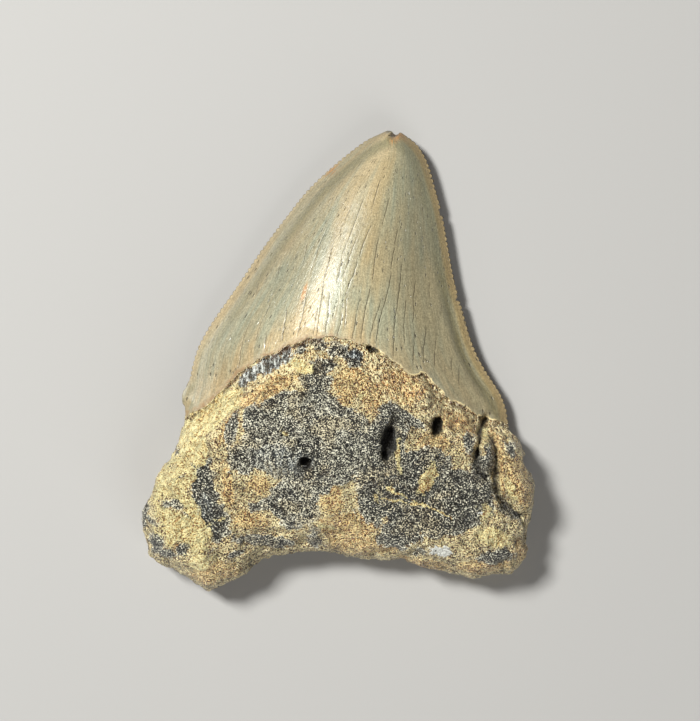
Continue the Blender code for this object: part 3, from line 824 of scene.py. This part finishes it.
class Shading:
    """A material's nodes, made by short calls."""

    def __init__(self, name):
        self.material = bpy.data.materials.new(name)
        self.material.use_nodes = True
        self.tree = self.material.node_tree
        self.shader = self.tree.nodes["Principled BSDF"]

    def node(self, kind, inputs=(), **settings):
        made = self.tree.nodes.new(kind)
        for key, value in settings.items():
            setattr(made, key, value)
        for socket, value in dict(inputs).items():
            self.put(made.inputs[socket], value)
        return made

    def put(self, socket, value):
        if isinstance(value, bpy.types.NodeSocket):
            self.tree.links.new(value, socket)
        else:
            socket.default_value = value

    def attribute(self, name, output="Fac"):
        return self.node("ShaderNodeAttribute", attribute_name=name).outputs[output]

    def stretched(self, vector, scale):
        return self.node("ShaderNodeVectorMath", {0: vector, 1: scale}, operation="MULTIPLY").outputs[0]

    def grain(self, vector, scale, detail=2.0, roughness=0.55):
        inputs = {"Vector": vector, "Scale": scale, "Detail": detail, "Roughness": roughness}
        return self.node("ShaderNodeTexNoise", inputs).outputs["Fac"]

    def cells(self, vector, scale):
        return self.node("ShaderNodeTexVoronoi", {"Vector": vector, "Scale": scale}).outputs["Distance"]

    def math(self, operation, value, *others):
        """The values joined by the operation, from left to right."""
        for other in others:
            value = self.node("ShaderNodeMath", {0: value, 1: other}, operation=operation).outputs[0]
        return value

    def times(self, *values):
        return self.math("MULTIPLY", *values)

    def plus(self, *values):
        return self.math("ADD", *values)

    def minus(self, *values):
        return self.math("SUBTRACT", *values)

    def linear(self, value, low, high, to_low=0.0, to_high=1.0, kind="LINEAR"):
        """The value's range from low to high, turned into another one."""
        inputs = {"Value": value, "From Min": low, "From Max": high, "To Min": to_low, "To Max": to_high}
        return self.node("ShaderNodeMapRange", inputs, interpolation_type=kind).outputs[0]

    def step(self, *ranges):
        """The same with soft ends."""
        return self.linear(*ranges, kind="SMOOTHSTEP")

    def mix(self, share, a, b, blend="MIX"):
        """A colour between two others."""
        made = self.node("ShaderNodeMix", {0: share, 6: a, 7: b}, data_type="RGBA", blend_type=blend)
        return made.outputs[2]

    def blend(self, share, a, b):
        """A number between two others."""
        return self.node("ShaderNodeMix", {0: share, 2: a, 3: b}).outputs[0]

    def ramp(self, value, *stops):
        """A colour for each value, between the stops' places and colours."""
        made = self.node("ShaderNodeValToRGB", {0: value})
        elements = made.color_ramp.elements
        while len(elements) < len(stops):
            elements.new(0.5)
        for element, (place, colour) in zip(elements, stops):
            element.position = place
            element.color = colour
        return made.outputs[0]

    def darkened(self, colour, shade):
        grey = self.node("ShaderNodeCombineColor", {0: shade, 1: shade, 2: shade}).outputs[0]
        return self.mix(1.0, colour, grey, "MULTIPLY")

    def patch(self, name, *breaks, soft=0.08):
        """A stain's share, its edge broken up by noises, each with how far it reaches."""
        broken = self.attribute(name)
        for value, reach in breaks:
            broken = self.plus(broken, self.linear(value, 0.0, 1.0, -reach, reach))
        return self.step(broken, 0.5 - soft, 0.5 + soft)


def rgb(red, green, blue):
    """A colour given as it looks on a screen, from 0 to 255, in linear light."""
    linear = [((v / 255 + 0.055) / 1.055) ** 2.4 if v > 10 else v / 255 / 12.92 for v in (red, green, blue)]
    return (*linear, 1.0)


ENAMEL_GREY = rgb(170, 170, 146)
ENAMEL_TAN = rgb(192, 172, 132)
ENAMEL_OLIVE = rgb(136, 128, 92)
ENAMEL_PEACH = rgb(204, 176, 132)
ENAMEL_BRONZE = rgb(110, 98, 58)
ENAMEL_GOLD = rgb(178, 150, 92)
ENAMEL_RUST = rgb(206, 142, 76)
# Pale tan of the cutting edges, with a painted highlight
EDGE_TAN_AND_HIGHLIGHT = rgb(212, 188, 142)
CRACK_BROWN = rgb(66, 56, 40)
# Painted highlight on the enamel's lip
LIP_HIGHLIGHT = rgb(255, 232, 176)
LIP_TAN = rgb(146, 112, 72)
# Painted shadow below the enamel's lip
LIP_SHADOW_BROWN = rgb(84, 50, 20)
# Painted shade at the bottom of furrows and holes
HOLE_SHADE_BROWN = rgb(20, 14, 9)

# The root's stains, each from its darkest grains to its brightest; the near-white top of the dark, brown and
# glassy ones is painted glints as well as pale grains
DARK_GRAINS_AND_GLINTS = (
    (0.455, rgb(5, 5, 4)), (0.51, rgb(44, 41, 34)), (0.53, rgb(118, 112, 94)), (0.55, rgb(255, 250, 230)),
)
BROWN_GRAINS_AND_GLINTS = (
    (0.455, rgb(16, 10, 5)), (0.51, rgb(72, 56, 34)), (0.53, rgb(146, 126, 92)), (0.55, rgb(252, 240, 208)),
)
TAN_GRAINS = ((0.415, rgb(48, 27, 11)), (0.472, rgb(216, 164, 100)), (0.516, rgb(255, 242, 192)))
ORANGE_GRAINS = ((0.415, rgb(84, 44, 16)), (0.472, rgb(234, 166, 94)), (0.52, rgb(255, 233, 172)))
CREAM_GRAINS = ((0.385, rgb(146, 96, 44)), (0.44, rgb(254, 218, 138)), (0.505, rgb(255, 243, 186)))
CREVICE_BROWN = rgb(44, 25, 10)
GLASSY_GRAINS_AND_GLINTS = ((0.42, rgb(14, 16, 22)), (0.5, rgb(84, 92, 98)), (0.57, rgb(246, 252, 252)))
WHITE_SPOT = rgb(255, 255, 250)


# Patterns that run with the crown: stretch along x, y and the face
BROAD = (0.16, 0.05, 0.1)
STREAKS = (1.1, 0.09, 0.1)
LINES = (2.3, 0.13, 0.1)
THREADS = (4.5, 1.2, 0.1)
ENAMEL_PITS = (1.7, 0.55, 0.1)
PITTED_PATCHES = (0.5, 0.12, 0.1)
FIBRES = (5.5, 1.6, 0.1)
GLASSY_STRIPES = (2.4, 0.4, 0.1)
# Arcs round the hole, in radius and way
ARCS = (2.4, 0.5, 0.5)
# Patterns in space, in lumps to the metre
ENAMEL_SPECKLE = 4200.0
LIP_HIGHLIGHT_BREAKS = 700.0
NECK_BREAKS = 900.0
ROOT_SPECKLE = 4600.0
COARSE = 900.0
MEDIUM = 480.0
WIDE = 260.0
CREVICES = 800.0

ROOT_ROUGHNESS = 0.38
GLASSY_ROUGHNESS = 0.28
REFRACTION = 1.9
BUMP_DEPTH = 0.6
FLOOR_COLOUR = (0.46, 0.448, 0.457, 1.0)
FLOOR_ROUGHNESS = 0.85


def enamel(s, place, flow, across, up, from_neck):
    """Colour, roughness and relief of the crown."""
    broad = s.step(s.grain(s.stretched(flow, BROAD), 1.0, 3.0), 0.38, 0.62)
    streaks = s.step(s.grain(s.stretched(flow, STREAKS), 1.0, 3.0, 0.6), 0.35, 0.65)
    lines = s.grain(s.stretched(flow, LINES), 1.0, 2.0, 0.6)
    threads = s.grain(s.stretched(flow, THREADS), 1.0, 2.0, 0.6)
    from_edge = s.attribute("from_edge")
    on_right = s.step(across, 2.0, 8.0)

    # Grey and tan, olive along the edges, peach near the neck
    colour = s.mix(broad, ENAMEL_GREY, ENAMEL_TAN)
    colour = s.mix(s.times(streaks, 0.45), colour, ENAMEL_TAN)
    olive = s.times(s.step(from_edge, 0.9, 1.6), s.step(from_edge, 3.4, 2.0))
    olive = s.times(olive, s.linear(broad, 0.0, 1.0, 0.45, 0.85))
    colour = s.mix(olive, colour, ENAMEL_OLIVE)
    low = s.times(s.step(from_neck, 6.5, 0.0), s.linear(streaks, 0.0, 1.0, 0.2, 0.75))
    colour = s.mix(low, colour, ENAMEL_PEACH)
    colour = s.mix(s.times(on_right, 0.35), colour, ENAMEL_GREY)

    # Bronze band and golden rim on the right, paler rims all round, and a pale edge that is partly tan and
    # partly a painted highlight
    band = s.times(s.step(from_edge, 0.8, 1.4), s.step(from_edge, 3.4, 1.9))
    band = s.times(band, s.linear(lines, 0.35, 0.65, 0.2, 0.7), s.step(up, 20.0, 6.0, 0.25, 1.0))
    colour = s.mix(s.times(band, on_right), colour, ENAMEL_BRONZE)
    right_edge = s.times(s.step(from_edge, 1.5, 0.8), on_right)
    colour = s.mix(s.times(right_edge, 0.7), colour, ENAMEL_GOLD)
    rim = s.step(s.plus(from_edge, s.times(threads, 0.5)), 1.5, 0.6)
    colour = s.mix(s.times(rim, 0.4), colour, ENAMEL_PEACH)
    # Pale tan and painted highlight on the very edge
    colour = s.mix(s.times(s.step(from_edge, 0.35, 0.1), 0.4), colour, EDGE_TAN_AND_HIGHLIGHT)
    rust = s.patch("rust", (streaks, 0.3), soft=0.25)
    colour = s.mix(s.times(rust, 0.8), colour, ENAMEL_RUST)

    # Finer light and dark, and broad painted shade that darkens the left and right sides and the tip
    colour = s.darkened(colour, s.linear(threads, 0.3, 0.7, 0.82, 1.16))
    colour = s.darkened(colour, s.linear(s.grain(place, ENAMEL_SPECKLE, 1.5), 0.3, 0.7, 0.76, 1.22))
    colour = s.darkened(colour, s.linear(lines, 0.35, 0.65, 0.88, 1.1))
    # Painted shade: the left and right sides and the tip darkened for the way the light falls
    colour = s.darkened(colour, s.step(across, -16.0, 1.0, 0.68, 1.04))
    colour = s.darkened(colour, s.step(across, 5.0, 14.0, 1.04, 0.74))
    colour = s.darkened(colour, s.step(up, 3.0, 18.0, 1.0, 0.84))

    # Pits, cracks, a painted highlight on the enamel's lip on the right, and a tan edge at the enamel's end
    # on the left
    pits = s.step(s.cells(s.stretched(flow, ENAMEL_PITS), 1.0), 0.2, 0.1)
    pits = s.times(pits, s.step(s.grain(s.stretched(flow, PITTED_PATCHES), 1.0), 0.44, 0.54))
    colour = s.mix(s.times(pits, 0.75), colour, CRACK_BROWN)
    crack = s.step(s.attribute("crack"), 0.05, 0.6)
    colour = s.mix(s.times(crack, 0.8), colour, CRACK_BROWN)
    # Painted highlight: a broken bright line on the lip at the enamel's end, on the right
    lip = s.times(s.step(from_neck, 0.26, 0.12), on_right)
    lip = s.times(lip, s.step(s.grain(place, LIP_HIGHLIGHT_BREAKS), 0.44, 0.56, 0.0, 0.8))
    colour = s.mix(lip, colour, LIP_HIGHLIGHT)
    brown = s.times(s.step(from_neck, 0.7, 0.2), s.step(across, 6.0, 0.0))
    brown = s.times(brown, s.step(s.grain(place, NECK_BREAKS), 0.4, 0.6, 0.2, 0.9))
    colour = s.mix(brown, colour, LIP_TAN)

    roughness = s.linear(threads, 0.3, 0.7, 0.27, 0.38)
    roughness = s.plus(roughness, s.step(from_edge, 5.0, 2.0, 0.0, 0.2))
    roughness = s.plus(roughness, s.step(from_neck, 1.0, 0.2, 0.0, 0.3))
    relief = s.minus(s.times(threads, 0.08), s.times(pits, 0.2))
    return colour, roughness, relief


def root(s, place, flow, up, from_neck):
    """Colour, roughness and relief of the root."""
    near_neck = s.step(from_neck, -7.0, -2.5)
    speckle = s.grain(place, ROOT_SPECKLE, 1.0, 0.6)
    fibres = s.grain(s.stretched(flow, FIBRES), 1.0, 1.5, 0.6)
    grains = s.blend(s.times(near_neck, 0.5), speckle, fibres)
    coarse = s.grain(place, COARSE, 3.0, 0.6)
    medium = s.grain(place, MEDIUM, 2.0, 0.6)
    wide = s.grain(place, WIDE, 3.0, 0.6)
    stained = s.attribute("dark")

    # How bright the grains are, with arcs round the hole, darker in the dark stain
    tone = s.plus(grains, s.linear(coarse, 0.0, 1.0, -0.11, 0.11), s.linear(wide, 0.0, 1.0, -0.05, 0.05))
    swirl = s.attribute("swirl", "Vector")
    radius = s.node("ShaderNodeSeparateXYZ", {0: swirl}).outputs[0]
    arcs = s.linear(s.grain(s.stretched(swirl, ARCS), 1.0, 2.0, 0.6), 0.25, 0.75, -0.04, 0.11)
    near_hole = s.times(s.step(radius, 2.0, 4.0), s.step(radius, 12.0, 8.5), stained)
    tone = s.plus(tone, s.times(near_hole, arcs))
    tone = s.minus(tone, s.times(stained, s.step(up, -14.0, -19.0, 0.0, 0.006)))
    tone = s.minus(tone, s.step(stained, 0.55, 1.0, 0.0, 0.035))

    # The stains, each over the ones before
    breaks = ((medium, 0.5), (coarse, 0.5), (grains, 0.2))
    colour = s.mix(s.patch("orange", *breaks), s.ramp(tone, *TAN_GRAINS), s.ramp(tone, *ORANGE_GRAINS))
    # The dark stain's near-white grains are partly painted glints
    dark = s.mix(s.step(wide, 0.48, 0.64), s.ramp(tone, *DARK_GRAINS_AND_GLINTS), s.ramp(tone, *BROWN_GRAINS_AND_GLINTS))
    colour = s.mix(s.patch("dark", *breaks), colour, dark)
    blotched = s.plus(tone, s.linear(coarse, 0.0, 1.0, -0.1, 0.1))
    cream = s.patch("cream", (medium, 0.4), (coarse, 0.6), (grains, 0.25))
    colour = s.mix(cream, colour, s.ramp(blotched, *CREAM_GRAINS))
    winding = s.math("ABSOLUTE", s.minus(s.grain(place, CREVICES, 3.0, 0.6), 0.5), 0.0)
    crevices = s.times(s.step(winding, 0.05, 0.015), s.step(medium, 0.42, 0.58))
    crevice_share = s.times(crevices, s.step(s.attribute("cream"), 0.4, 0.7, 0.55, 0.25))
    colour = s.mix(crevice_share, colour, CREVICE_BROWN)
    colour = s.mix(s.patch("white", (coarse, 0.8), (grains, 0.3), soft=0.04), colour, WHITE_SPOT)
    glassy = s.patch("glassy", (coarse, 0.6), (grains, 0.5))
    glassy = s.times(glassy, s.linear(near_neck, 0.0, 1.0, 0.3, 0.9))
    # The glassy stain's pale stripes are partly painted glints
    stripes = s.blend(0.5, grains, s.grain(s.stretched(flow, GLASSY_STRIPES), 1.0, 2.0, 0.6))
    colour = s.mix(glassy, colour, s.ramp(stripes, *GLASSY_GRAINS_AND_GLINTS))

    roughness = s.blend(glassy, ROOT_ROUGHNESS, GLASSY_ROUGHNESS)
    relief = s.plus(grains, s.times(coarse, 2.6), s.times(medium, 2.6))
    relief = s.minus(relief, s.times(crevices, 0.4), 3.0)
    return colour, roughness, relief


def fossil_material():
    """One material for crown and root, which meet at the neck's ragged line."""
    s = Shading("fossil_tooth")
    place = s.node("ShaderNodeTexCoord").outputs["Object"]
    flow = s.attribute("flow", "Vector")
    across, up = s.node("ShaderNodeSeparateXYZ", {0: flow}).outputs[:2]
    from_neck = s.attribute("from_neck")
    colour, roughness, relief = enamel(s, place, flow, across, up, from_neck)
    root_colour, root_roughness, root_relief = root(s, place, flow, up, from_neck)
    on_crown = s.step(from_neck, -0.12, 0.06)
    colour = s.mix(on_crown, root_colour, colour)
    # Painted shadow: a broken brown line on the root just below the enamel's end, where the lip shades it
    gap = s.times(s.step(from_neck, -1.1, -0.3), s.step(from_neck, -0.02, -0.16))
    gap = s.times(gap, s.step(s.grain(place, COARSE, 3.0, 0.6), 0.42, 0.6, 0.05, 0.85))
    colour = s.mix(gap, colour, LIP_SHADOW_BROWN)
    # Painted shade in the furrows and holes, darker where they are deeper
    hollow_shade = s.step(s.attribute("hollow_shade"), 0.15, 0.8, 0.0, 0.96)
    s.put(s.shader.inputs["Base Color"], s.mix(hollow_shade, colour, HOLE_SHADE_BROWN))
    s.put(s.shader.inputs["Roughness"], s.blend(on_crown, root_roughness, roughness))
    s.shader.inputs["IOR"].default_value = REFRACTION
    height = s.blend(on_crown, root_relief, relief)
    bump = s.node("ShaderNodeBump", {"Strength": 1.0, "Distance": BUMP_DEPTH * MM, "Height": height})
    s.put(s.shader.inputs["Normal"], bump.outputs[0])
    return s.material


def floor_material():
    s = Shading("studio_floor")
    s.shader.inputs["Base Color"].default_value = FLOOR_COLOUR
    s.shader.inputs["Roughness"].default_value = FLOOR_ROUGHNESS
    return s.material


# Floor: half its width in metres
FLOOR_HALF_WIDTH = 1.5

# Camera: a long lens straight above the middle of the picture, in the outline's own coordinates
CAMERA_PLACE = (1.72, -0.19, 314.6)
CAMERA_LENS = 100.0
CAMERA_SENSOR = 36.0
CAMERA_NEAR = 0.01

# Lights: place in metres, side of the square, power in watts
KEY_LIGHT = ((-0.31, 0.22, 0.55), 0.14, 6.1)
FILL_LIGHT = ((0.26, -0.52, 0.36), 0.5, 1.8)
LAMP_COLOUR = (0.99, 1.0, 0.93)
ROOM_COLOUR = (1.0, 0.98, 0.94, 1.0)
ROOM_LIGHT = 0.09


def add_object(name, data):
    made = bpy.data.objects.new(name, data)
    bpy.context.scene.collection.objects.link(made)
    return made


def add_floor():
    side = FLOOR_HALF_WIDTH
    corners = [(-side, -side, 0), (side, -side, 0), (side, side, 0), (-side, side, 0)]
    mesh = bpy.data.meshes.new("floor")
    mesh.from_pydata(corners, [], [(0, 1, 2, 3)])
    mesh.materials.append(floor_material())
    floor = add_object("floor", mesh)


def add_light(name, place, side, power):
    light = bpy.data.lights.new(name, "AREA")
    light.size = side
    light.energy = power
    light.color = LAMP_COLOUR
    lamp = add_object(name, light)
    lamp.location = place
    lamp.rotation_euler = Vector(place).to_track_quat("Z", "Y").to_euler()


def add_studio():
    add_floor()
    add_light("key", *KEY_LIGHT)
    add_light("fill", *FILL_LIGHT)
    world = bpy.data.worlds.new("studio")
    world.use_nodes = True
    inputs = world.node_tree.nodes["Background"].inputs
    inputs["Color"].default_value = ROOM_COLOUR
    inputs["Strength"].default_value = ROOM_LIGHT
    bpy.context.scene.world = world
    bpy.context.scene.view_settings.view_transform = "Standard"


def add_camera():
    data = bpy.data.cameras.new("camera")
    data.lens = CAMERA_LENS
    data.sensor_width = CAMERA_SENSOR
    data.clip_start = CAMERA_NEAR
    camera = add_object("camera", data)
    camera.location = Vector(CAMERA_PLACE) * MM
    bpy.context.scene.camera = camera


def add_tooth():
    mesh = tooth_mesh(Form())
    mesh.materials.append(fossil_material())
    tooth = add_object("tooth_surface", mesh)
    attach(tooth, "root")
    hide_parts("tooth")


def main():
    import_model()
    add_camera()
    add_tooth()
    add_studio()


main()
